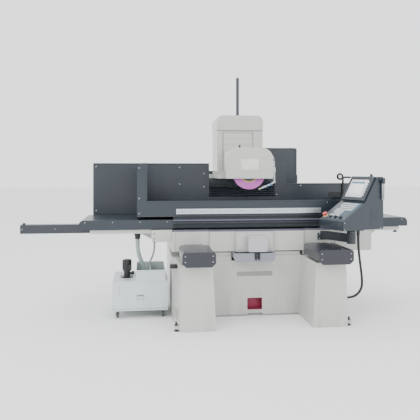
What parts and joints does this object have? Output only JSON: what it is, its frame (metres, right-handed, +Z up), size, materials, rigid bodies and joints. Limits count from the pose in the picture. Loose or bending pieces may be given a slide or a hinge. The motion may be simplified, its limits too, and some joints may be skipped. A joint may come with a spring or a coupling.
{
  "type": "surface grinder",
  "caption": "Saddle-type surface grinder with a sliding table in a splash guard, a wheelhead on a rear column, an operator console and a coolant tank.",
  "frame": {"origin": "on the floor under the base, at the middle of the base's width and of the magnetic chuck's depth", "axes": "+X along the table's travel to the operator's right, +Y away from the operator towards the column, +Z up"},
  "size_m": [3.928, 2.24, 2.61],
  "materials": {
    "casting_white": "satin enamel over casting",
    "slate_sheet": "slate blue-grey powder coat",
    "way_cover_paint": "dark indigo satin paint",
    "table_iron": "machined, dark and oiled",
    "way_iron": "scraped way surface",
    "ground_steel": "bright ground steel",
    "chuck_steel": "ground, crosswise lay",
    "motor_grey": "lilac grey paint",
    "pan_grey": "glossy grey paint",
    "tank_paint": "pale blue-grey paint",
    "dark_sheet": "dark grey powder coat",
    "steel_dark": "oiled turned steel",
    "zinc_steel": "zinc plated",
    "hard_chrome": "hard chrome, polished",
    "bronze": "turned bronze",
    "wheel_grit": "vitrified abrasive, open grain",
    "bellows_black": "coated fabric folds",
    "rubber_black": "moulded",
    "caster_tread": "grey tread",
    "panel_light": "moulded bezel",
    "red_button": "moulded",
    "black_knob": "fine grain",
    "hose_green": "translucent ribbed",
    "hose_grey": "smooth",
    "alu": "turned"
  },
  "bodies": {
    "machine_base": {"base_casting": "casting_white", "bed_sections": "casting_white", "levelling_feet": "steel_dark", "cross_guideways": "way_iron", "cross_feed_nut": "bronze", "column": "casting_white", "vertical_guideways": "way_iron", "column_top_cover": "casting_white", "screw_guard_tube": "dark_sheet", "electrical_cabinet": "slate_sheet", "coolant_tank": "tank_paint", "filter_box": "tank_paint", "coolant_pump": "black_knob", "caster_forks": "zinc_steel", "console_conduit": "rubber_black", "drain_hose": "hose_green", "return_hose": "hose_grey"},
    "elevating_nut": {"elevating_nut": "bronze"},
    "cabinet_door": {"cabinet_door": "slate_sheet"},
    "caster_wheels_front": {"caster_wheels_front": "caster_tread"},
    "caster_wheels_rear": {"caster_wheels_rear": "caster_tread"},
    "saddle": {"saddle": "casting_white", "saddle_arm_left": "casting_white", "saddle_arm_right": "casting_white", "rod_guard": "dark_sheet", "way_cover_left": "way_cover_paint", "way_cover_right": "way_cover_paint", "cross_drive_housing": "casting_white", "cross_feed_motor": "motor_grey", "drip_pan": "pan_grey", "hydraulic_cylinder": "steel_dark", "rear_splash_left": "slate_sheet", "rear_splash_right": "slate_sheet", "console_arm": "dark_sheet", "hose_fittings": "black_knob", "work_lamp": "black_knob"},
    "cross_feed_screw": {"cross_feed_screw": "ground_steel"},
    "table": {"table": "table_iron", "table_end_cover_left": "slate_sheet", "table_end_cover_right": "slate_sheet", "dog_rail": "ground_steel", "magnetic_chuck": "chuck_steel", "splash_guard": "slate_sheet", "piston_rod": "hard_chrome"},
    "wheelhead": {"wheelhead": "casting_white", "elevating_screw": "ground_steel", "upper_way_cover": "casting_white", "spindle_motor": "steel_dark", "wheel_guard": "casting_white", "coolant_nozzle": "panel_light", "way_bellows": "bellows_black"},
    "spindle": {"spindle_shaft": "ground_steel", "grinding_wheel": "wheel_grit", "wheel_flange": "steel_dark"},
    "guard_door": {"guard_door": "casting_white"},
    "nozzle_valve": {"nozzle_valve": "black_knob"},
    "console": {"console_body": "slate_sheet", "display_panel": "slate_sheet"},
    "estop_button": {"estop_button": "red_button"},
    "selector_knob": {"selector_knob": "black_knob"}
  },
  "joints": [
    {"name": "saddle_slide", "type": "slide", "parent": "machine_base", "child": "saddle", "axis": [0, 1, 0], "range_m": [-0.26, 0.26]},
    {"name": "screw_spin", "type": "hinge", "parent": "saddle", "child": "cross_feed_screw", "pos_m": [-0.03, -0.1, 0.6], "axis": [0, 1, 0], "continuous": true},
    {"name": "table_slide", "type": "slide", "parent": "saddle", "child": "table", "axis": [1, 0, 0], "range_m": [-0.7, 0.75]},
    {"name": "wheelhead_slide", "type": "slide", "parent": "machine_base", "child": "wheelhead", "axis": [0, 0, 1], "range_m": [-0.14, 0.2], "deforming": ["way_bellows", "upper_way_cover"]},
    {"name": "nut_spin", "type": "hinge", "parent": "machine_base", "child": "elevating_nut", "pos_m": [0.055, 0.95, 1.95], "axis": [0, 0, 1], "continuous": true},
    {"name": "spindle_spin", "type": "hinge", "parent": "wheelhead", "child": "spindle", "pos_m": [0.022, 0.04, 1.429], "axis": [0, 1, 0], "continuous": true},
    {"name": "guard_door_hinge", "type": "hinge", "parent": "wheelhead", "child": "guard_door", "pos_m": [0.286, -0.016, 1.493], "axis": [0, 0, 1], "range_deg": [0, 100]},
    {"name": "nozzle_valve_turn", "type": "hinge", "parent": "wheelhead", "child": "nozzle_valve", "pos_m": [0.324, 0.04, 1.47], "axis": [1, 0, 0], "range_deg": [0, 90]},
    {"name": "console_swivel", "type": "hinge", "parent": "saddle", "child": "console", "pos_m": [0.875, -0.72, 0.91], "axis": [0, 0, 1], "range_deg": [-60, 45]},
    {"name": "estop_push", "type": "slide", "parent": "console", "child": "estop_button", "axis": [0.501, 0.1823, -0.846], "range_m": [0, 0.007], "stiffness_N_per_m": 900},
    {"name": "selector_turn", "type": "hinge", "parent": "console", "child": "selector_knob", "pos_m": [0.68819, -0.80928, 1.01152], "axis": [-0.501, -0.1823, 0.846], "range_deg": [-60, 60]},
    {"name": "cabinet_door_hinge", "type": "hinge", "parent": "machine_base", "child": "cabinet_door", "pos_m": [0.791, 1.236, 1.35], "axis": [0, 0, 1], "range_deg": [0, 105]},
    {"name": "caster_roll_front", "type": "hinge", "parent": "machine_base", "child": "caster_wheels_front", "pos_m": [-1.138, -0.294, 0.032], "axis": [1, 0, 0], "continuous": true},
    {"name": "caster_roll_rear", "type": "hinge", "parent": "machine_base", "child": "caster_wheels_rear", "pos_m": [-1.138, 0.122, 0.032], "axis": [1, 0, 0], "continuous": true}
  ],
  "couplings": [
    {"joint": "screw_spin", "follows": "saddle_slide", "rad_per_m": 628.32},
    {"joint": "nut_spin", "follows": "wheelhead_slide", "rad_per_m": 1047.2}
  ]
}
